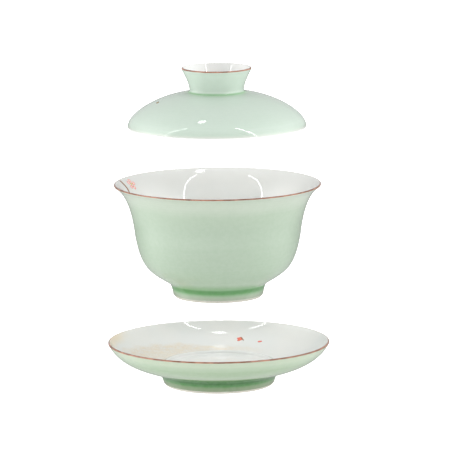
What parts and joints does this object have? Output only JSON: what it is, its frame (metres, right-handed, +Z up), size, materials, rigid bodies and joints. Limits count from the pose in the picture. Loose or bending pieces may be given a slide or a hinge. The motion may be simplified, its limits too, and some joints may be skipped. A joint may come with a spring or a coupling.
{
  "type": "gaiwan",
  "caption": "Lidded tea bowl on a saucer, in glazed porcelain, drawn taken apart: the bowl lifts off the saucer and the lid lifts off the bowl.",
  "frame": {"origin": "on the set's axis, in the plane that the saucer's foot ring stands on", "axes": "+Z up along the axis of the saucer, bowl and lid; the set is round, so X and Y are free, and -Y faces the viewer"},
  "size_m": [0.1106, 0.1106, 0.1595],
  "materials": {
    "white_porcelain": "glossy clear glaze over white porcelain",
    "celadon_glaze": "glossy pale green celadon, darker where it pools",
    "iron_brown_line": "thin iron-brown line under the glaze",
    "bare_porcelain": "unglazed, fine-ground foot ring",
    "painted_enamel": "thin overglaze enamel of the painted plum branch, raised slightly"
  },
  "bodies": {
    "saucer": {"saucer_dish": "white_porcelain", "saucer_foot_ring": "bare_porcelain", "saucer_celadon_coat": "celadon_glaze", "saucer_lip_line": "iron_brown_line"},
    "bowl": {"bowl_wall": "white_porcelain", "bowl_foot_ring": "bare_porcelain", "bowl_celadon_coat": "celadon_glaze", "bowl_lip_line": "iron_brown_line"},
    "lid": {"lid_dome": "white_porcelain", "lid_knob_ring": "white_porcelain", "lid_celadon_coat": "celadon_glaze", "lid_knob_lip_line": "iron_brown_line"}
  },
  "joints": [
    {"name": "bowl_lift", "type": "slide", "parent": "saucer", "child": "bowl", "axis": [0, 0, 1], "range_m": [-0.0344, 0]},
    {"name": "lid_lift", "type": "slide", "parent": "bowl", "child": "lid", "axis": [0, 0, 1], "range_m": [-0.0358, 0]}
  ]
}
